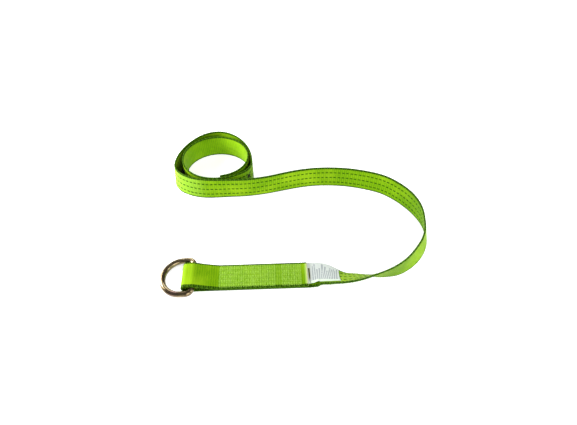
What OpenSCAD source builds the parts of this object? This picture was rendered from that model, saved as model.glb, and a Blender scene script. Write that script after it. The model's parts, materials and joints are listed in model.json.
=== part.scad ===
// Sewn webbing strap with a D-ring in one end.
// The sewn end lies flat along X with the ring at -X. Past its label the strap turns a quarter twist,
// stands on edge, bends back round the right-hand side and ends in a coil of two turns.
// The underside of everything is at z = 0.

/* [Webbing] */
// Width of the webbing
web_w = 52; // [48:1:53]
// Thickness of one ply
web_t = 3.2; // [2.4:0.2:3.4]

/* [Sewn eye] */
// Y of the middle of the sewn end
strap_y = -158.5; // [-158.5:0.5:-158.5]
// X of the middle of the ring's bar
bar_x = -194.5; // [-198:0.5:-192]
// From the bar's middle to the outside of the fold
fold_reach = 19; // [10:0.5:20]
// Gap between the bar and each ply
bar_gap = 0.5; // [0.4:0.1:0.7]
// X of the end of the folded-back flap
flap_end = 14; // [8:1:16]

/* [Stitching] */
// Rows of stitching along each block
rows_along = 6; // [4:1:8]
// Rows of stitching across each block
rows_across = 4; // [2:1:5]
// Width of one row of thread
thread_w = 1; // [0.6:0.1:1.4]
// Height that the needle thread stands above the flap
thread_h = 0.4; // [0.2:0.1:0.6]
// X where the block nearest the ring starts
ring_block_x = -146; // [-148:1:-144]
// Length of the block nearest the ring
ring_block_l = 60; // [50:1:61]
// X where the middle block starts
middle_block_x = -84; // [-84:1:-80]
// Length of the middle block
middle_block_l = 39; // [30:1:40]
// X where the block at the flap's end starts
end_block_x = -32; // [-34:1:-30]
// Length of the block at the flap's end
end_block_l = 34; // [28:1:36]

/* [D-ring] */
// Diameter of the ring's round bar
wire_d = 11; // [9:0.5:12]
// Clear width inside the ring, along its bar
ring_inner_w = 60; // [60:1:66]
// From the bar's middle to the middle of the bow
ring_depth = 55; // [48:0.5:58]
// Bend radius of the two corners, at the middle of the bar
corner_r = 10; // [9:0.5:15]
// How far the ring has slid along its bar
ring_shift = 1; // [-3:0.5:3]

/* [Label] */
// Width of the label
label_w = 45; // [43:1:45]
// How far the label lies from the strap's middle towards its far edge
label_shift = 3.5; // [0:0.5:3.5]
// Thickness of the label
label_t = 0.6; // [0.4:0.1:0.8]
// Gap between the label and the webbing
label_gap = 0.9; // [0.9:0.1:1.1]

/* [Coil] */
// Turns in the coil, counted from its front
coil_turns = 1.97; // [1.9:0.01:1.97]

/* [Hidden] */
$fn = 64;

// The strap's free route past the sewn end: x, y of its middle line, then its roll in degrees.
// Roll 0 lies flat, 90 stands on edge, and more than 90 leans towards the inside of the bend.
route = [
    [20, -158.5, 0], [40, -160.5, 7], [60, -169.5, 24], [80, -176, 37.5], [105, -177, 46.5],
    [125, -176.5, 56.5], [145, -175.5, 68], [162, -172, 76], [180, -165.5, 85], [197, -155, 91.5],
    [214, -140, 97.5], [230, -121, 101], [242, -98, 103.5], [247, -73.5, 104], [247, -48.5, 100],
    [240, -22.5, 94], [227, 1.5, 90], [207.5, 24.5, 88.5], [183, 43.5, 88], [150, 57, 88],
    [112, 66.6, 88.5], [76, 70.6, 89], [41, 70.5, 89], [8, 66.2, 89], [-24, 59, 89.5],
    [-58, 51, 91], [-96, 45.6, 91], [-135, 45, 89.5]
];
route_steps = 6;

// The coil's outline at a few turns: turn, middle x, middle y, half width, depth to the front and to
// the back, then how many degrees its left side leans in at the top. Between two of these it eases
// from one to the next.
coil_outline = [
    [0.25, -170.5, 95.5, 82, 50.5, 101.7, 7], [0.44, -166, 95.5, 77, 50.5, 101.7, 7],
    [0.7, -170.5, 95.5, 82, 50.5, 101.7, 7], [0.8, -170.5, 95.5, 82, 50.5, 101.7, 7],
    [1.05, -166, 116.5, 69.5, 65.5, 63, 0], [1.7, -166, 116.5, 69.5, 65.5, 63, 0],
    [2, -166, 116.5, 69.5, 60.5, 63, 0]
];
// The lean starts this many degrees before the middle of the coil's front.
lean_lead = 25;
coil_steps_per_turn = 36;

straight_end = route[0].x;
slot_h = wire_d + 2 * bar_gap;
bar_z = web_t + slot_h / 2;
fold_r = slot_h / 2 + web_t;
fold_x = bar_x - fold_reach + fold_r;
slope_start = bar_x + 1;
slope_steps = 12;
slope_power = 1.2;
flap_top = 2 * web_t;
groove_h = thread_h + 0.2;
groove_gap = 0.1;

ring_r = wire_d / 2;
ring_half = ring_inner_w / 2 + ring_r;
ring_y = strap_y + ring_shift;
ring_tilt = asin((bar_z - ring_r) / ring_depth);

label_x = flap_end + 1;
label_steps = 16;

function ease(t) = t * t * (3 - 2 * t);

function mix(a, b, t) = a + (b - a) * t;

// Point between b and c, at the share t, on the smooth curve through a, b, c and d.
function curve_point(a, b, c, d, t) =
    (2 * b + (c - a) * t + (2 * a - 5 * b + 4 * c - d) * t * t + (3 * b - a - 3 * c + d) * t * t * t) / 2;

// Height of the slot between the two plies at x, from the bar to the first stitches.
function slot_height(x) = slot_h * pow((ring_block_x - x) / (ring_block_x - slope_start), slope_power);

// Which pair of outlines a turn lies between.
function outline_index(turn, i = 0) =
    i >= len(coil_outline) - 2 || turn <= coil_outline[i + 1][0] ? i : outline_index(turn, i + 1);

function outline_at(turn) =
    let (
        i = outline_index(turn),
        a = coil_outline[i],
        b = coil_outline[i + 1]
    )
    mix(a, b, ease(max(0, (turn - a[0]) / (b[0] - a[0]))));

function coil_station(turn) =
    let (
        o = outline_at(turn),
        angle = 360 * turn,
        depth = cos(angle) > 0 ? o[4] : o[5]
    )
    [o[1] - o[3] * sin(angle), o[2] - depth * cos(angle), 90 - o[6] * max(0, sin(angle + lean_lead))];

guide = concat([2 * route[0] - route[1]], route, [coil_station(0), coil_station(1 / coil_steps_per_turn)]);

// Station at the span number u along the route, counted from its start.
function route_station(u) =
    let (i = min(floor(u), len(guide) - 4))
    curve_point(guide[i], guide[i + 1], guide[i + 2], guide[i + 3], u - i);

route_spans = len(guide) - 3;
coil_steps = ceil(coil_turns * coil_steps_per_turn);
stations = concat(
    [for (i = [0:route_spans * route_steps - 1]) route_station(i / route_steps)],
    [for (i = [0:coil_steps]) coil_station(i * coil_turns / coil_steps)]
);

// Height of the middle line that puts the strap's lowest corner on z = 0.
function middle_height(roll) = (web_w * sin(roll) + web_t * abs(cos(roll))) / 2;

// Direction of travel at station i, seen from above.
function heading(list, i) =
    let (
        a = list[max(i - 1, 0)],
        b = list[min(i + 1, len(list) - 1)]
    )
    atan2(b.y - a.y, b.x - a.x);

// Four corners of a strip w wide and t thick. Its middle is offset from the strap's middle towards
// the face that is on top where the strap lies flat, and moved by shift towards the far edge.
function section(station, direction, w, t, offset, shift) =
    let (
        roll = station[2],
        middle = [station.x, station.y, middle_height(roll)],
        left = [-sin(direction), cos(direction), 0],
        across = [0, 0, sin(roll)] - left * cos(roll),
        normal = [0, 0, cos(roll)] + left * sin(roll)
    )
    [for (k = [[-1, -1], [1, -1], [1, 1], [-1, 1]])
        middle + across * (k[0] * w / 2 - shift) + normal * (offset + k[1] * t / 2)];

// A strip through a list of stations, as one closed solid.
module strip(list, w, t, offset = 0, shift = 0) {
    last = len(list) - 1;
    points = [for (i = [0:last]) each section(list[i], heading(list, i), w, t, offset, shift)];
    // Both wide sides are split along the same diagonal, so that a twisted thin strip keeps its thickness.
    sides = [for (i = [0:last - 1], k = [0:3])
        let (a = 4 * i + k, b = 4 * i + (k + 1) % 4)
        each k < 2 ? [[a, b, b + 4], [a, b + 4, a + 4]] : [[a, b, a + 4], [b, b + 4, a + 4]]];
    n = 4 * last;
    ends = [[3, 2, 1], [3, 1, 0], [n, n + 1, n + 2], [n, n + 2, n + 3]];
    polyhedron(points = points, faces = concat(sides, ends), convexity = 10);
}

// The side outline of the eye and flap, with the slot for the ring's bar.
module eye_outline() {
    slope = [for (i = [0:slope_steps]) mix(slope_start, ring_block_x, i / slope_steps)];
    difference() {
        union() {
            translate([fold_x, fold_r])
                circle(fold_r);
            polygon(concat(
                [[fold_x, 0], [fold_x, 2 * fold_r]],
                [for (x = slope) [x, flap_top + slot_height(x)]],
                [[flap_end, flap_top], [flap_end, web_t], [straight_end, web_t], [straight_end, 0]]
            ));
        }
        translate([fold_x, fold_r])
            circle(slot_h / 2);
        polygon(concat(
            [[fold_x, web_t], [fold_x, web_t + slot_h]],
            [for (x = slope) [x, web_t + slot_height(x)]]
        ));
    }
}

// Rows of stitching over one block, as bars from height z up by h.
module stitch_rows(x, l, z, h, w) {
    side = web_w * 0.42;
    for (i = [0:rows_along - 1])
        translate([x, strap_y + mix(-side, side, i / (rows_along - 1)) - w / 2, z])
            cube([l, w, h]);
    for (i = [0:rows_across - 1])
        translate([mix(x, x + l - w, i / (rows_across - 1)), strap_y - side - w / 2, z])
            cube([w, 2 * side + w, h]);
}

module bobbin_groove(x, l) {
    stitch_rows(x - groove_gap, l + 2 * groove_gap, -1, 1 + groove_h, thread_w + 2 * groove_gap);
}

module webbing() {
    color("yellowgreen") {
        difference() {
            translate([0, strap_y + web_w / 2, 0])
                rotate([90, 0, 0])
                    linear_extrude(web_w)
                        eye_outline();
            bobbin_groove(ring_block_x, ring_block_l);
            bobbin_groove(middle_block_x, middle_block_l);
            bobbin_groove(end_block_x, end_block_l);
        }
        strip(stations, web_w, web_t);
    }
}

module ring_corner() {
    translate([-corner_r, ring_half - corner_r, 0])
        rotate_extrude(angle = 90)
            translate([corner_r, 0])
                circle(ring_r);
}

// The ring lies in its own plane with its bar along Y through the origin and its bow towards -X.
module ring_loop() {
    leg_l = ring_depth - ring_half - corner_r;
    translate([0, ring_half - corner_r, 0])
        rotate([90, 0, 0])
            cylinder(r = ring_r, h = 2 * (ring_half - corner_r));
    ring_corner();
    mirror([0, 1, 0])
        ring_corner();
    for (side = [-1, 1])
        translate([-corner_r - leg_l, side * ring_half, 0])
            rotate([0, 90, 0])
                cylinder(r = ring_r, h = leg_l);
    translate([-corner_r - leg_l, 0, 0])
        rotate([0, 0, 90])
            rotate_extrude(angle = 180)
                translate([ring_half, 0])
                    circle(ring_r);
}

module d_ring() {
    color("darkgoldenrod")
        translate([bar_x, ring_y, bar_z])
            rotate([0, -ring_tilt, 0])
                ring_loop();
}

module label() {
    flat_start = [label_x, strap_y, 0];
    covered = [for (i = [0:label_steps]) stations[i]];
    height = (web_t + label_t) / 2 + label_gap;
    color("white")
        strip(concat([flat_start], covered), label_w, label_t, height, label_shift);
}

module needle_thread(x, l) {
    color("greenyellow")
        stitch_rows(x, l, flap_top, thread_h, thread_w);
}

module bobbin_thread(x, l) {
    color("greenyellow")
        stitch_rows(x, l, groove_h - thread_h, thread_h, thread_w);
}

webbing();
d_ring();
label();
needle_thread(ring_block_x, ring_block_l);  // ring_block_needle_thread
bobbin_thread(ring_block_x, ring_block_l);  // ring_block_bobbin_thread
needle_thread(middle_block_x, middle_block_l);  // middle_block_needle_thread
bobbin_thread(middle_block_x, middle_block_l);  // middle_block_bobbin_thread
needle_thread(end_block_x, end_block_l);  // end_block_needle_thread
bobbin_thread(end_block_x, end_block_l);  // end_block_bobbin_thread
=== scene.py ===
import json
import math

import bpy
import numpy as np
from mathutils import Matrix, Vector


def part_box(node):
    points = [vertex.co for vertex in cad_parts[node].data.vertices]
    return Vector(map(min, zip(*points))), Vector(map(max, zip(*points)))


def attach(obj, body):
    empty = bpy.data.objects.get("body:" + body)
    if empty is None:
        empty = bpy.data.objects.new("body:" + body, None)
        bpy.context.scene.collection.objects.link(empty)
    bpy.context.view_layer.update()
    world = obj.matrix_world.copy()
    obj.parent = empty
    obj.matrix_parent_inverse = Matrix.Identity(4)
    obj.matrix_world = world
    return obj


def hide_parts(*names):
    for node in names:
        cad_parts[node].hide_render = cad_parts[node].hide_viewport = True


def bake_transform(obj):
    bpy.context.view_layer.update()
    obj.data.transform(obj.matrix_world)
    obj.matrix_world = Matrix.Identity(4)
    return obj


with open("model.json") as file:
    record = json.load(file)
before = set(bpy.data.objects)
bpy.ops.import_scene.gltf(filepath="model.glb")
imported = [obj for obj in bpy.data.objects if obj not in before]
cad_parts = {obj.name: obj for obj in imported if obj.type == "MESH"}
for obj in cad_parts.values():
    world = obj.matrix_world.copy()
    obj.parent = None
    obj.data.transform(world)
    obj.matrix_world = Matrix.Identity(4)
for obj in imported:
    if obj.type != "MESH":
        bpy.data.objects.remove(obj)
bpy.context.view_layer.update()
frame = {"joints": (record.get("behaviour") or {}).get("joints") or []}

MM = 0.001
UP = np.array([0.0, 0.0, 1.0])
rng = np.random.default_rng(7)

# ---------------------------------------------------------------- sizes, as in the CAD source

WEB_W = 52 * MM
WEB_T = 3.2 * MM
WIRE_R = 5.5 * MM
BAR_GAP = 0.5 * MM
FOLD_REACH = 19 * MM
FLAP_END = 14 * MM
RING_HALF = 35.5 * MM
RING_DEPTH = 55 * MM
RING_CORNER_R = 10 * MM
LABEL_W = 45 * MM
LABEL_SHIFT = 3.5 * MM
LABEL_REACH = 53.7 * MM
LABEL_THICK = 0.32 * MM
# Rows of stitching across the strap's width.
STITCH_ROWS = 6
STITCH_PITCH = 0.84 * WEB_W / (STITCH_ROWS - 1)

joint_at = {j["name"]: np.array(j["pos_m"]) for j in frame["joints"]}
ring_pivot = joint_at["ring_swing"]
label_hinge = joint_at["label_lift"]
STRAP_Y = label_hinge[1]
SLOT_H = 2 * (WIRE_R + BAR_GAP)
FOLD_R = SLOT_H / 2 + WEB_T
FOLD_X = ring_pivot[0] - FOLD_REACH + FOLD_R
SLOPE_START = ring_pivot[0] + 1 * MM
SLOPE_POWER = 1.2
SLOPE_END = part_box("ring_block_needle_thread")[0].x

# x, y of the strap's middle line in mm, then its roll in degrees: 0 lies flat, 90 stands on edge.
ROUTE = [
    [20, -158.5, 0], [40, -160.5, 7], [60, -169.5, 24], [80, -176, 37.5], [105, -177, 46.5],
    [125, -176.5, 56.5], [145, -175.5, 68], [162, -172, 76], [180, -165.5, 85], [197, -155, 91.5],
    [214, -140, 97.5], [230, -121, 101], [242, -98, 103.5], [247, -73.5, 104], [247, -48.5, 100],
    [240, -22.5, 94], [227, 1.5, 90], [207.5, 24.5, 88.5], [183, 43.5, 88], [150, 57, 88],
    [112, 66.6, 88.5], [76, 70.6, 89], [41, 70.5, 89], [8, 66.2, 89], [-24, 59, 89.5],
    [-58, 51, 91], [-96, 45.6, 91], [-135, 45, 89.5],
]
# x where the lower ply ends and the route begins.
ROUTE_X = ROUTE[0][0] * MM
# Turn, middle x, middle y, half width, depth to the front and depth to the back, in mm, then the
# degrees that the left side leans in at the top.
COIL_OUTLINE = [
    [0.25, -170.5, 95.5, 82, 50.5, 101.7, 7], [0.44, -166, 95.5, 77, 50.5, 101.7, 7],
    [0.7, -170.5, 95.5, 82, 50.5, 101.7, 7], [0.8, -170.5, 95.5, 82, 50.5, 101.7, 7],
    [1.05, -166, 116.5, 69.5, 65.5, 63, 0], [1.7, -166, 116.5, 69.5, 65.5, 63, 0],
    [2, -166, 116.5, 69.5, 60.5, 63, 0],
]
COIL_LEAN_LEAD = math.radians(25)
COIL_TURNS = 1.97
COIL_CAD_STEPS = 36

# Points along the path: in each ply of the sewn end, in the fold, in each span of the route and in a turn.
PLY_POINTS = 400
FOLD_POINTS = 58
ROUTE_STEPS = 24
COIL_STEPS = 360

# Weave: one rib is one weft yarn, and a tracer yarn floats over every second pair.
RIB = 4.35 * MM
DASH_PITCH = 2 * RIB
WARP_PITCH = 1.3 * MM
RINGS_PER_RIB = 4
FACE_SEGMENTS = 18
EDGE_SEGMENTS = 6


def ease(t):
    t = np.clip(t, 0, 1)
    return t * t * (3 - 2 * t)


def unit(v):
    return v / np.linalg.norm(v, axis=-1, keepdims=True)


# ---------------------------------------------------------------- the strap's path

def curve_point(a, b, c, d, t):
    """Point between b and c, at the share t, on the smooth curve through a, b, c and d."""
    return (2 * b + (c - a) * t + (2 * a - 5 * b + 4 * c - d) * t * t
            + (3 * b - a - 3 * c + d) * t ** 3) / 2


def coil_station(turn):
    outline = np.array(COIL_OUTLINE, float)
    i = min(max(np.searchsorted(outline[:, 0], turn) - 1, 0), len(outline) - 2)
    a, b = outline[i], outline[i + 1]
    o = a + (b - a) * ease((turn - a[0]) / (b[0] - a[0]))
    angle = 2 * math.pi * turn
    depth = o[4] if math.cos(angle) > 0 else o[5]
    roll = 90 - o[6] * max(0, math.sin(angle + COIL_LEAN_LEAD))
    return [o[1] - o[3] * math.sin(angle), o[2] - depth * math.cos(angle), roll]


def tail_stations():
    """x, y and roll along the route past the sewn end and round the coil."""
    route = np.array(ROUTE, float)
    before, after = 2 * route[0] - route[1], coil_station(1 / COIL_CAD_STEPS)
    guide = np.vstack([before, route, coil_station(0), after])
    loose = [curve_point(*guide[i:i + 4], k / ROUTE_STEPS)
             for i in range(len(guide) - 3) for k in range(ROUTE_STEPS)]
    turns = np.linspace(0, COIL_TURNS, int(COIL_TURNS * COIL_STEPS))
    return np.array(loose + [coil_station(t) for t in turns])


def slot_height(x):
    return SLOT_H * np.clip((SLOPE_END - x) / (SLOPE_END - SLOPE_START), 0, 1) ** SLOPE_POWER


def sewn_line():
    """Points of the middle line, from the flap's end back over the eye and along the lower ply."""
    flap_lift = 0.8 * MM
    lift_from = 4 * MM
    x = np.linspace(FLAP_END, FOLD_X, PLY_POINTS)
    z = 1.5 * WEB_T + slot_height(x) + flap_lift * ease((x - lift_from) / (FLAP_END - lift_from))
    upper = np.stack([x, np.full_like(x, STRAP_Y), z], -1)
    turn = np.linspace(0, math.pi, FOLD_POINTS + 2)[1:-1]
    r = FOLD_R - WEB_T / 2
    fold = np.stack([FOLD_X - r * np.sin(turn), np.full_like(turn, STRAP_Y), FOLD_R + r * np.cos(turn)], -1)
    x = np.linspace(FOLD_X, ROUTE_X, PLY_POINTS)[:-1]
    lower = np.stack([x, np.full_like(x, STRAP_Y), np.full_like(x, WEB_T / 2)], -1)
    return np.vstack([upper, fold, lower])


def strap_path():
    """Middle points, directions across (towards the near or top edge) and normals of the tracer side."""
    sewn = sewn_line()
    stations = tail_stations()
    xy = stations[:, :2] * MM
    roll = np.radians(stations[:, 2])[:, None]
    height = (WEB_W * np.sin(roll) + WEB_T * np.abs(np.cos(roll))) / 2
    travel = unit(np.gradient(xy, axis=0))
    left = np.stack([-travel[:, 1], travel[:, 0], 0 * travel[:, 0]], -1)
    middle = np.vstack([sewn, np.hstack([xy, height])])
    sewn_across = np.tile([0.0, -1.0, 0.0], (len(sewn), 1))
    sewn_normal = unit(np.cross(sewn_across, unit(np.gradient(sewn, axis=0))))
    across = np.vstack([sewn_across, UP * np.sin(roll) - left * np.cos(roll)])
    normal = np.vstack([sewn_normal, UP * np.cos(roll) + left * np.sin(roll)])
    return middle, across, normal


line, line_across, line_normal = strap_path()
line_s = np.concatenate([[0], np.cumsum(np.linalg.norm(np.diff(line, axis=0), axis=1))])
STRAP_L = line_s[-1]
# Distance along the webbing where the upper ply, the fold and the lower ply end.
FLAP_L = line_s[PLY_POINTS - 1]
FOLD_L = line_s[PLY_POINTS + FOLD_POINTS - 1]
SEWN_L = line_s[2 * PLY_POINTS + FOLD_POINTS - 2]


def nearest_s(x, y):
    """Distance along the webbing at the point of the middle line nearest to x, y, in mm."""
    return float(line_s[np.argmin(np.hypot(line[:, 0] - x * MM, line[:, 1] - y * MM))])


# Distance along the webbing where the coil's outer turn starts, at its front, and where a small dark mark
# sits on that turn, at the coil's right.
COIL_S = nearest_s(*ROUTE[-1][:2])
MARK_S = nearest_s(-97, 75.5)


def at(s, table):
    """A table of the strap's path, read at the distances s along it."""
    return np.stack([np.interp(s, line_s, table[:, k]) for k in range(3)], -1)


def strap_frame(s):
    across = unit(at(s, line_across))
    normal = at(s, line_normal)
    normal = unit(normal - across * np.sum(normal * across, -1, keepdims=True))
    return at(s, line), across, normal


def skin(s, q, side, lift):
    """Point on the webbing's surface and its outward normal. q is the distance round the edge on that side
    (+1 near or top, -1 far or bottom) from its outermost line: below 0 on the tracer side and above 0 on
    the other."""
    r = WEB_T / 2
    flat = np.maximum(np.abs(q) - math.pi * r / 2, 0)
    angle = np.clip(q / r, -math.pi / 2, math.pi / 2)
    middle, across, normal = strap_frame(s)
    out = side[..., None] * across * np.cos(angle)[..., None] - normal * np.sin(angle)[..., None]
    centre = middle + (side * (WEB_W / 2 - r - flat))[..., None] * across
    return centre + out * (r + lift)[..., None], out


def face_point(s, v, face, lift):
    """Point on a face (+1 tracer side, -1 other side) at v across from the middle, and its normal."""
    middle, across, normal = strap_frame(s)
    out = normal * face
    return middle + across * v[..., None] + out * (WEB_T / 2 + lift)[..., None], out


# ---------------------------------------------------------------- meshes

def add_mesh(name, points, faces, materials, body, smooth=True):
    mesh = bpy.data.meshes.new(name)
    mesh.from_pydata(np.asarray(points).reshape(-1, 3).tolist(), [], faces)
    mesh.update()
    if smooth:
        mesh.polygons.foreach_set("use_smooth", [True] * len(mesh.polygons))
    obj = bpy.data.objects.new(name, mesh)
    bpy.context.scene.collection.objects.link(obj)
    for material in materials:
        mesh.materials.append(material)
    if body:
        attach(obj, body)
    return obj


def set_attribute(obj, name, values):
    attribute = obj.data.attributes.new(name, "FLOAT_VECTOR", "POINT")
    attribute.data.foreach_set("vector", np.asarray(values, np.float32).ravel())


def tube_faces(rings, around, closed=False):
    """Quads between rings of points, with a flat face at each end unless it closes on itself."""
    faces = []
    for i in range(rings if closed else rings - 1):
        a, b = i * around, (i + 1) % rings * around
        faces += [(a + k, a + (k + 1) % around, b + (k + 1) % around, b + k) for k in range(around)]
    if not closed:
        faces.append(tuple(reversed(range(around))))
        faces.append(tuple(range((rings - 1) * around, rings * around)))
    return faces


def yarn_floats(name, centre, out, half_w, half_h, material):
    """Many short yarns as spindles. centre and out are (yarns, points, 3), and out points off the cloth."""
    around = 8
    count, points = centre.shape[:2]
    travel = unit(np.gradient(centre, axis=1))
    out = unit(out - travel * np.sum(out * travel, -1, keepdims=True))
    side = np.cross(travel, out)
    x = np.linspace(-1, 1, points)
    taper = np.sqrt(1 - 0.96 * x ** 2)[None, :, None, None]
    angle = np.linspace(0, 2 * math.pi, around, endpoint=False)
    ring = (side[:, :, None, :] * np.cos(angle)[:, None] * half_w
            + out[:, :, None, :] * np.sin(angle)[:, None] * half_h)
    verts = centre[:, :, None, :] + ring * taper
    one = tube_faces(points, around)
    faces = [tuple(i * points * around + k for k in face) for i in range(count) for face in one]
    obj = add_mesh(name, verts, faces, [material], "webbing")
    tone = np.repeat(rng.random(count), points * around)
    along = np.tile(np.repeat(x, around), count)
    turn = np.tile(np.tile(angle, points), count)
    set_attribute(obj, "yarn", np.stack([tone, along, turn], -1))
    return obj


# ---------------------------------------------------------------- materials

class Nodes:
    """Builds one material's node tree."""

    def __init__(self, name):
        self.material = bpy.data.materials.new(name)
        self.material.use_nodes = True
        self.tree = self.material.node_tree
        self.shader = self.tree.nodes["Principled BSDF"]

    def set(self, socket, value):
        if isinstance(value, bpy.types.NodeSocket):
            self.tree.links.new(value, socket)
        else:
            socket.default_value = value

    def node(self, kind, inputs=(), **settings):
        made = self.tree.nodes.new(kind)
        for key, value in settings.items():
            setattr(made, key, value)
        for key, value in dict(inputs).items():
            self.set(made.inputs[key], value)
        return made

    def math(self, operation, a, b=0.0, c=0.0):
        inputs = {0: a, 1: b, 2: c} if operation == "MULTIPLY_ADD" else {0: a, 1: b}
        return self.node("ShaderNodeMath", inputs, operation=operation).outputs[0]

    def times(self, a, b):
        return self.math("MULTIPLY", a, b)

    def span(self, value, low, high, smooth=True):
        """0 below low, 1 above high, and a smooth step between them. low may be the larger."""
        kind = "SMOOTHSTEP" if smooth else "LINEAR"
        made = self.node("ShaderNodeMapRange", {0: value, 1: low, 2: high}, interpolation_type=kind)
        return made.outputs[0]

    def between(self, value, rise, full, fade, gone):
        """0 below rise, 1 from full to fade, and 0 above gone."""
        return self.times(self.span(value, rise, full), self.span(value, gone, fade))

    def wave(self, value, pitch):
        """A cosine of that pitch, from 0 to 1."""
        turned = self.math("COSINE", self.times(value, 2 * math.pi / pitch))
        return self.math("MULTIPLY_ADD", turned, 0.5, 0.5)

    def mix(self, share, a, b):
        made = self.node("ShaderNodeMix", data_type="RGBA")
        for i, value in ((0, share), (6, a), (7, b)):
            self.set(made.inputs[i], (*value, 1) if isinstance(value, tuple) else value)
        return made.outputs[2]

    def vector(self, x=0.0, y=0.0, z=0.0):
        return self.node("ShaderNodeCombineXYZ", {0: x, 1: y, 2: z}).outputs[0]

    def noise(self, vector, scale, detail=2.0, rough=0.5):
        return self.node("ShaderNodeTexNoise", {"Vector": vector, "Scale": scale, "Detail": detail,
                                                "Roughness": rough}).outputs[0]

    def attribute(self, name):
        split = self.node("ShaderNodeSeparateXYZ",
                          {0: self.node("ShaderNodeAttribute", attribute_name=name).outputs["Vector"]})
        return split.outputs[0], split.outputs[1], split.outputs[2]

    def place(self):
        return self.node("ShaderNodeTexCoord").outputs["Object"]

    def bump(self, height, distance, strength=1.0):
        made = self.node("ShaderNodeBump", {"Height": height, "Distance": distance, "Strength": strength})
        self.set(self.shader.inputs["Normal"], made.outputs[0])

    def finish(self, **sockets):
        for key, value in sockets.items():
            self.set(self.shader.inputs[key.replace("_", " ")], value)
        return self.material


# Linear colours.
LIME = (0.205, 0.405, 0.003)
LIME_LIGHT = (0.26, 0.46, 0.008)
# Deeper lime: the weave's dark tone, and painted shade at the right bend.
LIME_DEEP_AND_SHADE = (0.085, 0.235, 0.001)
LIME_SHADE = (0.04, 0.14, 0.003)
# Paler lime: the own paleness of the sewn flap and its cut end, and painted highlights.
LIME_PALE_AND_HIGHLIGHT = (0.33, 0.57, 0.075)
# Painted highlight colour, for the fold and the coil's inside.
LIME_PAINTED_HIGHLIGHT = (0.40, 0.66, 0.015)
LIME_GLOSS = (1.0, 0.95, 0.08, 1)
LIME_SHEEN = (0.75, 1.0, 0.05, 1)
EDGE_DARK = (0.012, 0.045, 0.001)
EDGE_MID = (0.06, 0.16, 0.004)
TRACER = (0.012, 0.055, 0.0)
TRACER_LIGHT = (0.03, 0.11, 0.0)
THREAD = (0.42, 0.64, 0.12)
CREAM = (0.58, 0.62, 0.30)
# Nearly black, for the small dark mark on the coil's outer turn.
DARK_MARK = (0.004, 0.012, 0.004)


def webbing_painted_light():
    """Stretches that the photo's light leaves paler or darker: the distances along the webbing where each
    sets in, is full, fades and is gone, its side (+1 tracer side, -1 other side, 0 both), its strength and
    its colour."""
    def past(start, *steps):
        return [start + step * MM for step in steps]

    bend = [nearest_s(x, y) for x, y in ((242, -98), (247, -73), (236, -14), (205, 27))]
    twist = past(SEWN_L, 0, 0.1) + [nearest_s(158, -173), nearest_s(222, -131)]
    return [
        # Painted highlight on the curve of the fold, on both sides.
        (*past(FLAP_L, -20, -6, 8, 20), 0, 0.45, LIME_PAINTED_HIGHLIGHT),
        (*twist, -1, 0.8, LIME_SHADE),
        (*past(COIL_S, 0, 30, 130, 190), -1, 0.7, LIME_SHADE),
        # Painted highlight on the front left of the coil's outer turn, on the tracer side.
        (*past(COIL_S, 40, 75, 120, 160), 1, 0.28, LIME_PALE_AND_HIGHLIGHT),
        # Painted highlight on the inside of the coil's inner turn, at its right.
        (*past(STRAP_L, -200, -165, -110, -85), -1, 0.25, LIME_PAINTED_HIGHLIGHT),
        # Painted shade on the tracer side of the bend at the right, up to where the strap crosses itself.
        (*bend, 1, 0.7, LIME_DEEP_AND_SHADE),
    ]


def stitched_cloth(n, s, v, rib, cloth):
    """Paler in mottled patches where thread is sewn through the flap, with painted highlights as pale spots
    on the ribs along the rows of stitching, and paler towards the flap's cut end.
    """
    pucker = n.noise(n.vector(n.times(s, 210), n.times(v, 190), 5.0), 1.0, 2)
    sewn = n.between(s, 10 * MM, 12 * MM, 158 * MM, 162 * MM)
    gap = n.between(s, 46 * MM, 48 * MM, 58 * MM, 60 * MM)
    sewn = n.times(sewn, n.math("SUBTRACT", 1.0, n.times(gap, 0.4)))
    # Painted highlight: pale spots where the ribs cross the rows of stitching.
    painted_rib_highlights = n.span(n.times(rib, n.wave(v, STITCH_PITCH)), 0.3, 0.9)
    paled = n.math("MULTIPLY_ADD", painted_rib_highlights, 0.5, n.times(n.span(pucker, 0.2, 0.9), 0.6))
    cloth = n.mix(n.times(sewn, paled), cloth, LIME_PALE_AND_HIGHLIGHT)
    cloth = n.mix(n.span(s, 5.5 * MM, 3.0 * MM), cloth, LIME_PALE_AND_HIGHLIGHT)
    return n.mix(n.span(s, 2.1 * MM, 1.5 * MM), cloth, CREAM)


def painted_light_cloth(n, s, h, cloth):
    """The stretches of painted highlight and painted shade from the table above, painted one after another.
    """
    for *stretch, side, share, colour in webbing_painted_light():
        mask = n.between(s, *stretch)
        if side:
            mask = n.times(mask, n.math("GREATER_THAN", n.times(h, side), 0.0))
        cloth = n.mix(n.times(mask, share), cloth, colour)
    return cloth


def marked_cloth(n, s, v, h, cloth):
    """The small dark mark on the tracer side of the coil's outer turn, as an oval."""
    mark_v, half_s, half_v = 6 * MM, 4.5 * MM, 5 * MM
    off_s = n.math("DIVIDE", n.math("SUBTRACT", s, MARK_S), half_s)
    off_v = n.math("DIVIDE", n.math("SUBTRACT", v, mark_v), half_v)
    off = n.math("ADD", n.math("POWER", n.math("ABSOLUTE", off_s), 2.0),
                 n.math("POWER", n.math("ABSOLUTE", off_v), 2.0))
    mark_share = n.times(n.span(off, 1.3, 0.7), n.math("GREATER_THAN", h, 0.0))
    return n.mix(mark_share, cloth, DARK_MARK)


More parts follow.
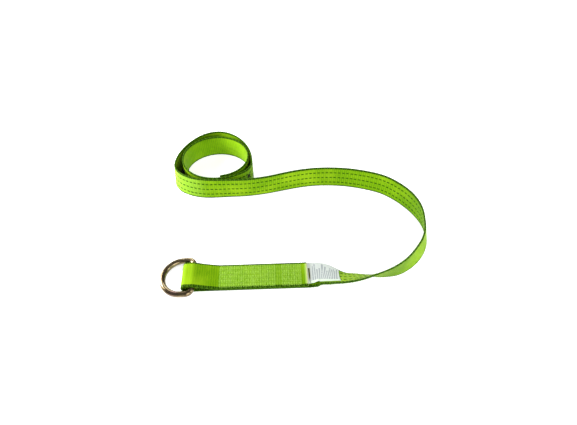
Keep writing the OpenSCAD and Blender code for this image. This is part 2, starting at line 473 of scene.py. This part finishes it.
def edged_cloth(n, s, v, h, wander, cloth):
    """Dark along both edges, with a ragged border, and wider along the near edge of the sewn end and on
    into the twist, where the wider band is partly the dark edge yarn and partly painted shade under the
    label and the lifted edge.
    """
    width, extra, ragged = 2.5 * MM, 1.9 * MM, 1.2 * MM
    from_edge = n.math("SUBTRACT", WEB_W / 2, n.math("ABSOLUTE", v))
    rope = n.wave(n.math("ADD", s, n.times(h, 1.6)), DASH_PITCH / 2)
    dark = n.mix(n.span(rope, 0.35, 0.8), EDGE_DARK, EDGE_MID)
    # Painted shade, together with the dark edge yarn: the band is wider along the near edge up to the
    # twist.
    near = n.times(n.math("GREATER_THAN", v, 0.0), n.span(s, SEWN_L + 160 * MM, SEWN_L + 120 * MM))
    border = n.math("MULTIPLY_ADD", wander, ragged, n.math("MULTIPLY_ADD", near, extra, width))
    return n.mix(n.span(from_edge, n.math("ADD", border, 0.5 * MM), border), cloth, dark)


def webbing_material():
    n = Nodes("lime_webbing")
    s, v, h = n.attribute("cloth")
    wander = n.noise(n.vector(n.times(s, 60), n.times(v, 300), 0.0), 1.0, 2)
    rib = n.wave(n.math("MULTIPLY_ADD", wander, 2.4 * MM, s), RIB)
    column = n.wave(v, WARP_PITCH)
    streak = n.noise(n.vector(n.times(s, 420), n.times(v, 95), h), 1.0, 3, 0.6)
    patch = n.noise(n.place(), 14.0, 3, 0.55)
    weave = n.math("MULTIPLY_ADD", rib, 0.45, n.times(streak, 0.75))
    weave = n.math("MULTIPLY_ADD", column, 0.1, weave)
    cloth = n.mix(n.span(weave, 0.3, 1.05, False), LIME_DEEP_AND_SHADE, LIME)
    cloth = n.mix(n.span(patch, 0.42, 0.75), cloth, LIME_LIGHT)
    cloth = stitched_cloth(n, s, v, rib, cloth)
    cloth = painted_light_cloth(n, s, h, cloth)
    cloth = marked_cloth(n, s, v, h, cloth)
    cloth = edged_cloth(n, s, v, h, wander, cloth)
    height = n.math("ADD", n.times(rib, 0.6), n.times(column, 0.35))
    n.bump(n.math("ADD", height, n.times(streak, 0.35)), 0.16 * MM, 0.9)
    rough = n.math("MULTIPLY_ADD", streak, 0.2, 0.42)
    return n.finish(Base_Color=cloth, Roughness=rough, Specular_IOR_Level=0.06, Specular_Tint=LIME_GLOSS,
                    Sheen_Weight=0.25, Sheen_Roughness=0.4, Sheen_Tint=LIME_SHEEN)


def yarn_material(name, dark, light):
    """A twisted yarn: its plies show as slanted lines, and each yarn has its own tone."""
    n = Nodes(name)
    tone, along, turn = n.attribute("yarn")
    pitch = 0.5
    ply = n.wave(n.math("ADD", along, n.times(turn, pitch / (2 * math.pi))), pitch)
    share = n.math("MULTIPLY_ADD", tone, 0.55, n.times(ply, 0.45))
    n.bump(ply, 0.12 * MM, 0.8)
    return n.finish(Base_Color=n.mix(share, dark, light), Roughness=0.55, Specular_IOR_Level=0.06,
                    Specular_Tint=LIME_GLOSS)


def ring_material():
    n = Nodes("yellow_zinc")
    place = n.place()
    film = n.noise(place, 55.0, 4, 0.6)
    blotch = n.noise(place, 260.0, 3, 0.6)
    gold = n.mix(n.span(film, 0.35, 0.62), (0.12, 0.08, 0.035), (0.25, 0.195, 0.1))
    pink = n.mix(n.span(n.noise(place, 38.0, 2), 0.52, 0.72), gold, (0.22, 0.13, 0.11))
    colour = n.mix(n.span(blotch, 0.6, 0.8), pink, (0.10, 0.075, 0.035))
    n.bump(n.noise(place, 900.0, 2), 0.05 * MM, 0.35)
    rough = n.math("MULTIPLY_ADD", film, 0.2, 0.16)
    return n.finish(Base_Color=colour, Metallic=1.0, Roughness=rough, Coat_Weight=0.6, Coat_Roughness=0.15)


def label_material():
    """White cloth with its unreadable print as plain grey bars, and a dark bar at the label's root."""
    n = Nodes("printed_label")
    s, v, h = n.attribute("cloth")
    rows, first, pitch = 12, 10.6 * MM, 4.02 * MM
    border = 12.5 * MM
    row = n.math("DIVIDE", n.math("SUBTRACT", s, first), pitch)
    index = n.math("FLOOR", row)
    bar = n.between(n.math("FRACT", row), 0.16, 0.26, 0.74, 0.84)
    start = n.node("ShaderNodeTexWhiteNoise", {"W": index}, noise_dimensions="1D").outputs[0]
    far = n.math("MULTIPLY_ADD", n.math("POWER", start, 2.0), 15 * MM, -23 * MM)
    printed = n.times(n.math("GREATER_THAN", v, far), n.math("LESS_THAN", v, border))
    word = n.math("FLOOR", n.math("DIVIDE", v, 1.7 * MM))
    gap = n.node("ShaderNodeTexWhiteNoise", {"Vector": n.vector(index, word, 3.0)},
                 noise_dimensions="3D").outputs[0]
    ink = n.times(n.times(bar, printed), n.span(gap, -0.1, 0.2))
    ink = n.times(ink, n.times(n.math("GREATER_THAN", row, 0.0), n.math("LESS_THAN", row, rows)))
    ink = n.times(ink, n.math("GREATER_THAN", h, 0.0))
    fibre = n.noise(n.vector(n.times(s, 900), n.times(v, 900), 0.0), 1.0, 2)
    paper = n.mix(fibre, (0.56, 0.61, 0.58), (0.64, 0.69, 0.65))
    paper = n.mix(n.span(v, border, 14 * MM), paper, (0.66, 0.78, 0.63))
    colour = n.mix(n.times(ink, 0.85), paper, (0.29, 0.32, 0.34))
    root = n.between(s, 4.4 * MM, 5.0 * MM, 7.6 * MM, 8.2 * MM)
    middle = n.between(v, -15 * MM, -13.5 * MM, 4 * MM, 19 * MM)
    colour = n.mix(n.times(root, middle), colour, (0.075, 0.075, 0.003))
    n.bump(fibre, 0.04 * MM, 0.5)
    return n.finish(Base_Color=colour, Roughness=0.6, Specular_IOR_Level=0.35)


def melted_material(name, dark, light):
    n = Nodes(name)
    lumps = n.noise(n.place(), 700.0, 3, 0.6)
    n.bump(lumps, 0.2 * MM, 0.8)
    return n.finish(Base_Color=n.mix(n.span(lumps, 0.35, 0.65), dark, light), Roughness=0.4,
                    Specular_IOR_Level=0.5)


def floor_material():
    """Pale floor that glows a little and more so far off, and glows less where it is hemmed in; where it is
    hemmed in, as between the coil's turns, it is painted dark green as painted shade.
    """
    n = Nodes("pale_floor")
    place = n.place()
    pale = n.mix(n.noise(place, 3.0, 2), (0.86, 0.86, 0.86), (0.88, 0.88, 0.88))
    sky = n.node("ShaderNodeAmbientOcclusion", {"Distance": 0.06}, samples=16).outputs["AO"]
    split = n.node("ShaderNodeSeparateXYZ", {0: place})
    # Painted shade: beside the coil's left the floor counts as more hemmed in, so it is darker.
    beside_coil = n.times(n.math("LESS_THAN", split.outputs[0], -232 * MM),
                          n.math("GREATER_THAN", split.outputs[1], 35 * MM))
    sky = n.math("SUBTRACT", sky, n.times(beside_coil, 0.17))
    far = n.node("ShaderNodeVectorMath", {0: place}, operation="LENGTH").outputs["Value"]
    glow = n.math("MULTIPLY_ADD", n.span(far, 0.3, 0.6), 0.3, 0.72)
    glow = n.times(n.span(sky, 0.05, 0.3), glow)
    # Painted shade: dark green where the floor is hemmed in.
    colour = n.mix(n.span(sky, 0.12, 0.3), (0.01, 0.03, 0.005), pale)
    return n.finish(Base_Color=colour, Roughness=0.9, Specular_IOR_Level=0.1,
                    Emission_Color=(1, 1, 1, 1), Emission_Strength=glow)


# ---------------------------------------------------------------- webbing

def cross_section():
    """v, h and outward direction of the points round the webbing's section, from the far edge over the
    tracer side to the near edge and back along the other side."""
    r = WEB_T / 2
    flat = WEB_W / 2 - r
    face = np.linspace(-flat, flat, FACE_SEGMENTS + 1)
    turn = np.linspace(math.pi / 2, -math.pi / 2, EDGE_SEGMENTS + 1)[1:-1]
    zero, one = np.zeros_like(face), np.ones_like(face)
    v = np.concatenate([face, flat + r * np.cos(turn), face[::-1], -flat - r * np.cos(turn)])
    h = np.concatenate([r * one, r * np.sin(turn), -r * one, -r * np.sin(turn)])
    out_v = np.concatenate([zero, np.cos(turn), zero, -np.cos(turn)])
    out_h = np.concatenate([one, np.sin(turn), -one, -np.sin(turn)])
    return v, h, out_v, out_h


def webbing_piece(material):
    """The whole length of webbing, with its ribs as relief and smooth where the two plies meet."""
    v, h, out_v, out_h = cross_section()
    rings = int(STRAP_L / RIB * RINGS_PER_RIB)
    s = np.linspace(0, STRAP_L, rings)
    middle, across, normal = strap_frame(s)
    drift = np.interp(v, np.linspace(-WEB_W / 2, WEB_W / 2, 13), rng.uniform(-0.9, 0.9, 13)) * MM
    rib = np.cos(2 * math.pi * (s[:, None] + drift) / RIB)
    on_face = np.abs(out_h) ** 4
    in_plies = (s < FLAP_L) | ((s > FOLD_L) & (s < SEWN_L))
    between_plies = (out_h > 0.5)[None, :] & in_plies[:, None]
    relief = np.where(between_plies, -0.06 * MM, 0.1 * MM * rib * on_face - 0.05 * MM * on_face)
    lift_v = v + out_v * relief
    lift_h = h + out_h * relief
    points = middle[:, None] + across[:, None] * lift_v[..., None] + normal[:, None] * lift_h[..., None]
    obj = add_mesh("webbing_cloth", points, tube_faces(rings, len(v)), [material], "webbing")
    around = np.stack([np.broadcast_to(s[:, None], lift_v.shape), np.broadcast_to(v, lift_v.shape),
                       np.broadcast_to(h, lift_v.shape)], -1)
    set_attribute(obj, "cloth", around)
    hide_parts("webbing")
    return obj


def tracer_dashes(material):
    """Three rows of tracer yarn on one side, each floating over most of every pair of ribs."""
    rows = [0.24 * WEB_W, -0.02 * WEB_W, -0.28 * WEB_W]
    length, points = 6.7 * MM, 7
    starts = np.arange(SEWN_L + 2 * MM, STRAP_L - DASH_PITCH, DASH_PITCH)
    s0 = np.concatenate([starts + rng.uniform(-0.3, 0.3, len(starts)) * MM for _ in rows])
    v0 = np.repeat(rows, len(starts))
    x = np.linspace(0, 1, points)
    s = s0[:, None] + x * length
    v = v0[:, None] + 0 * s
    lift = (0.12 * np.sin(math.pi * x) - 0.1) * MM + 0 * s
    centre, out = face_point(s, v, 1, lift)
    return yarn_floats("tracer_yarns", centre, out, 1.5 * MM, 0.34 * MM, material)


def selvedge_yarns(name, side, parity, material):
    """Every second one of the dark yarns that wrap an edge, slanted like the strands of a rope."""
    wrap, slant, points = 4.7 * MM, 3.4 * MM, 8
    starts = np.arange(1 * MM, STRAP_L - slant - 1 * MM, DASH_PITCH / 2)[parity::2]
    x = np.linspace(0, 1, points)
    s = starts[:, None] + rng.uniform(-0.25, 0.25, len(starts))[:, None] * MM + x * slant
    q = np.broadcast_to((x - 0.5) * 2 * wrap, s.shape)
    lift = (0.08 * np.sin(math.pi * x) - 0.24) * MM + 0 * s
    centre, out = skin(s, q, np.full(s.shape, side), lift)
    return yarn_floats(name, centre, out, 1.3 * MM, 0.4 * MM, material)


def melted_end(name, s, material, depth):
    """The bead along a heat-cut end."""
    count, around = 60, 12
    v = np.linspace(-WEB_W / 2 + 0.8 * MM, WEB_W / 2 - 0.8 * MM, count)
    middle, across, normal = strap_frame(np.array([s]))
    ahead = unit(np.cross(normal, across))[0] * (1 if s > STRAP_L / 2 else -1)
    wobble = rng.uniform(-0.25, 0.25, (count, around)) * MM
    angle = np.linspace(0, 2 * math.pi, around, endpoint=False)
    taper = np.sqrt(np.clip(1 - (np.abs(np.linspace(-1, 1, count)) ** 16), 0.05, 1))[:, None]
    thick = (WEB_T / 2 - 0.15 * MM + wobble) * taper
    deep = (depth + wobble) * taper
    points = ((middle[0] + across[0] * v[:, None])[:, None] + normal[0] * (np.cos(angle) * thick)[..., None]
              + ahead * (np.sin(angle) * deep)[..., None])
    return add_mesh(name, points, tube_faces(count, around), [material], "webbing")


# ---------------------------------------------------------------- stitching

def stitch_lines(node):
    """Start and end, as x and y, of the rows of stitching that the CAD node stands for."""
    low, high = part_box(node)
    inset = 0.5 * MM
    x0, x1, y0, y1 = low.x + inset, high.x - inset, low.y + inset, high.y - inset
    along = [((x0, y), (x1, y)) for y in np.linspace(y0, y1, STITCH_ROWS)]
    across = [((x, y0), (x, y1)) for x in np.linspace(x0, x1, 4)]
    return along + across


def stitches(node, name, material):
    """Single stitches of thread, each dipping into the webbing at its ends."""
    top = "needle" in node
    length, gap, stray, points = 3.4 * MM, 0.7 * MM, 0.22 * MM, 7
    x = np.linspace(0, 1, points)
    centres, outs = [], []
    for (x0, y0), (x1, y1) in stitch_lines(node):
        run = math.hypot(x1 - x0, y1 - y0)
        count = round(run / length)
        for i in range(count):
            a, b = i / count * run + gap / 2, (i + 1) / count * run - gap / 2
            t = (a + (b - a) * x) / run
            px = x0 + (x1 - x0) * t + rng.normal(0, stray)
            py = y0 + (y1 - y0) * t + rng.normal(0, stray)
            arch = (0.42 * np.sin(math.pi * x) ** 0.6 - 0.28) * MM
            z = 2 * WEB_T + arch if top else 0.16 * MM - arch
            centres.append(np.stack([px, py, z + 0 * px], -1))
            outs.append(np.tile(UP if top else -UP, (points, 1)))
    obj = yarn_floats(name, np.array(centres), np.array(outs), 0.55 * MM, 0.34 * MM, material)
    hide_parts(node)


# ---------------------------------------------------------------- label

def label_piece(material):
    """The label comes out from under the flap's end, lies on the strap and follows its twist, with a small
    arch at its near edge and a slanted far end."""
    rows, columns = 72, 56
    s0 = SEWN_L - (ROUTE_X - FLAP_END) - 2 * MM
    s1 = SEWN_L + LABEL_REACH
    v = np.linspace(-LABEL_W / 2, LABEL_W / 2, columns)[None, :] - LABEL_SHIFT
    share = np.linspace(0, 1, rows)[:, None]
    s = s0 + share * (s1 - s0 + 1.5 * MM + 0.26 * v)
    x = s - SEWN_L + ROUTE_X
    arch = 4.4 * MM * np.exp(-((x - 35 * MM) / (7 * MM)) ** 2) * ease((v - 7 * MM) / (12 * MM))
    wave = 0.12 * MM * np.sin(x / (7 * MM)) * np.cos(v / (9 * MM))
    ramp = ease((x - 12 * MM) / (8 * MM))
    lift = 0.12 * MM + (0.35 * MM + arch + wave) * ramp
    s, v, lift = np.broadcast_arrays(s, v, lift)
    under, out = face_point(s, v, 1, lift)
    over = under + out * LABEL_THICK
    points = np.concatenate([under.reshape(-1, 3), over.reshape(-1, 3)])
    cells = [(i * columns + k, i * columns + k + 1, (i + 1) * columns + k + 1, (i + 1) * columns + k)
             for i in range(rows - 1) for k in range(columns - 1)]
    layer = rows * columns
    rim = ([k for k in range(columns)] + [i * columns + columns - 1 for i in range(1, rows)]
           + [(rows - 1) * columns + k for k in range(columns - 2, -1, -1)]
           + [i * columns for i in range(rows - 2, 0, -1)])
    faces = [tuple(reversed(c)) for c in cells] + [tuple(layer + k for k in c) for c in cells]
    faces += [(a, b, layer + b, layer + a) for a, b in zip(rim, rim[1:] + rim[:1])]
    obj = add_mesh("label_sheet", points, faces, [material], None)
    flat = np.stack([share * (s1 - s0) + 0 * s, v, 0 * s], -1).reshape(-1, 3)
    set_attribute(obj, "cloth", np.concatenate([flat - [0, 0, 1], flat + [0, 0, 1]]))
    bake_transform(obj)
    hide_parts("label")


# ---------------------------------------------------------------- D-ring

def ring_line():
    """The ring's middle line in its own plane: bar along Y, bow towards -X."""
    steps = 30
    corner = RING_HALF - RING_CORNER_R
    leg = RING_DEPTH - RING_HALF
    quarter = np.linspace(0, math.pi / 2, steps)
    bar = np.stack([0 * quarter, np.linspace(-corner, corner, steps)], -1)
    turn = RING_CORNER_R * np.stack([np.cos(quarter) - 1, np.sin(quarter)], -1) + [0, corner]
    side = np.stack([np.linspace(-RING_CORNER_R, -leg, steps), np.full(steps, RING_HALF)], -1)
    half = np.linspace(0, math.pi, 4 * steps)
    bow = RING_HALF * np.stack([-np.sin(half), np.cos(half)], -1) + [-leg, 0]
    flip = np.array([1, -1])
    parts = [bar, turn, side, bow, (side * flip)[::-1], (turn * flip)[::-1]]
    return np.vstack([part[:-1] for part in parts])


def ring_piece(material):
    """The D-ring, tilted so that its bar sits in the eye and its bow rests on the floor."""
    flat = ring_line()
    around = 40
    tilt = math.asin((ring_pivot[2] - WIRE_R) / RING_DEPTH)
    ahead = np.array([math.cos(tilt), 0, math.sin(tilt)])
    beside = np.array([0.0, 1.0, 0.0])
    above = np.array([-math.sin(tilt), 0, math.cos(tilt)])
    step = unit(np.roll(flat, -1, 0) - np.roll(flat, 1, 0))
    outward = np.stack([step[:, 1], -step[:, 0]], -1)
    outward = ahead * outward[:, :1] + beside * outward[:, 1:]
    angle = np.linspace(0, 2 * math.pi, around, endpoint=False)
    middle = ring_pivot + ahead * flat[:, :1] + beside * flat[:, 1:]
    spread = outward[:, None] * np.cos(angle)[:, None] + above * np.sin(angle)[:, None]
    obj = add_mesh("ring_bar", middle[:, None] + spread * WIRE_R, tube_faces(len(flat), around, True),
                   [material], "d_ring")
    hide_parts("d_ring")


# ---------------------------------------------------------------- camera, floor and light

def set_up_camera():
    """The photo's camera, as fitted to the strap's outline."""
    camera = bpy.data.objects.new("camera", bpy.data.cameras.new("camera"))
    camera.data.sensor_width = 36
    camera.data.lens = 28.08
    camera.location = (-0.0378, -0.6054, 0.7058)
    camera.rotation_euler = (math.radians(40.44), 0, math.radians(-2.23))
    bpy.context.scene.collection.objects.link(camera)
    bpy.context.scene.camera = camera


def set_up_floor():
    half, drop = 4.0, 0.4 * MM
    corners = [(-half, -half, 0), (half, -half, 0), (half, half, 0), (-half, half, 0)]
    floor = add_mesh("floor", corners, [(0, 1, 2, 3)], [floor_material()], None, smooth=False)
    floor.location.z = -drop


def area_light(name, place, aim, size, power):
    light = bpy.data.lights.new(name, "AREA")
    light.shape = "DISK"
    light.size = size
    light.energy = power
    obj = bpy.data.objects.new(name, light)
    obj.location = place
    obj.rotation_euler = (Vector(aim) - Vector(place)).to_track_quat("-Z", "Y").to_euler()
    bpy.context.scene.collection.objects.link(obj)


def set_up_light():
    world = bpy.data.worlds.new("studio")
    bpy.context.scene.world = world
    world.use_nodes = True
    world.node_tree.nodes["Background"].inputs[0].default_value = (1, 1, 1, 1)
    world.node_tree.nodes["Background"].inputs[1].default_value = 0.22
    for light in (("front", (0.5, -1.5, 0.9), (0, 0, 0), 1.2, 20),
                  ("left", (-0.75, 0.1, 0.3), (-0.2, 0, 0), 0.3, 8.5),
                  ("back", (-0.3, 1.3, 1.0), (0, 0, 0), 1.0, 12),
                  ("right", (0.9, -0.5, 0.6), (0.2, -0.1, 0), 0.4, 4)):
        area_light(*light)
    bpy.context.scene.view_settings.view_transform = "Standard"


set_up_camera()
set_up_floor()
set_up_light()

cloth = webbing_piece(webbing_material())
tracers = tracer_dashes(yarn_material("tracer_yarn", TRACER, TRACER_LIGHT))
dark_yarn = yarn_material("dark_edge_yarn", EDGE_DARK, (0.03, 0.10, 0.003))
mid_yarn = yarn_material("mid_edge_yarn", (0.05, 0.15, 0.01), EDGE_MID)
edges = [selvedge_yarns(f"{place}_edge_{tone}_yarns", side, parity, material)
         for place, side in (("near", 1), ("far", -1))
         for tone, parity, material in (("dark", 0, dark_yarn), ("mid", 1, mid_yarn))]
cream_melt = melted_material("cream_melt", (0.42, 0.48, 0.18), CREAM)
dark_melt = melted_material("dark_melt", (0.02, 0.06, 0.01), (0.06, 0.14, 0.02))
ends = [melted_end("flap_cut_end", 0.2 * MM, cream_melt, 1.0 * MM),
        melted_end("free_cut_end", STRAP_L - 0.2 * MM, dark_melt, 0.9 * MM)]
thread = yarn_material("sewing_thread", (0.26, 0.52, 0.05), THREAD)
for block in ("ring_block", "middle_block", "end_block"):
    for kind in ("needle", "bobbin"):
        stitches(f"{block}_{kind}_thread", f"{block}_{kind}_stitches", thread)
label_piece(label_material())
ring_piece(ring_material())
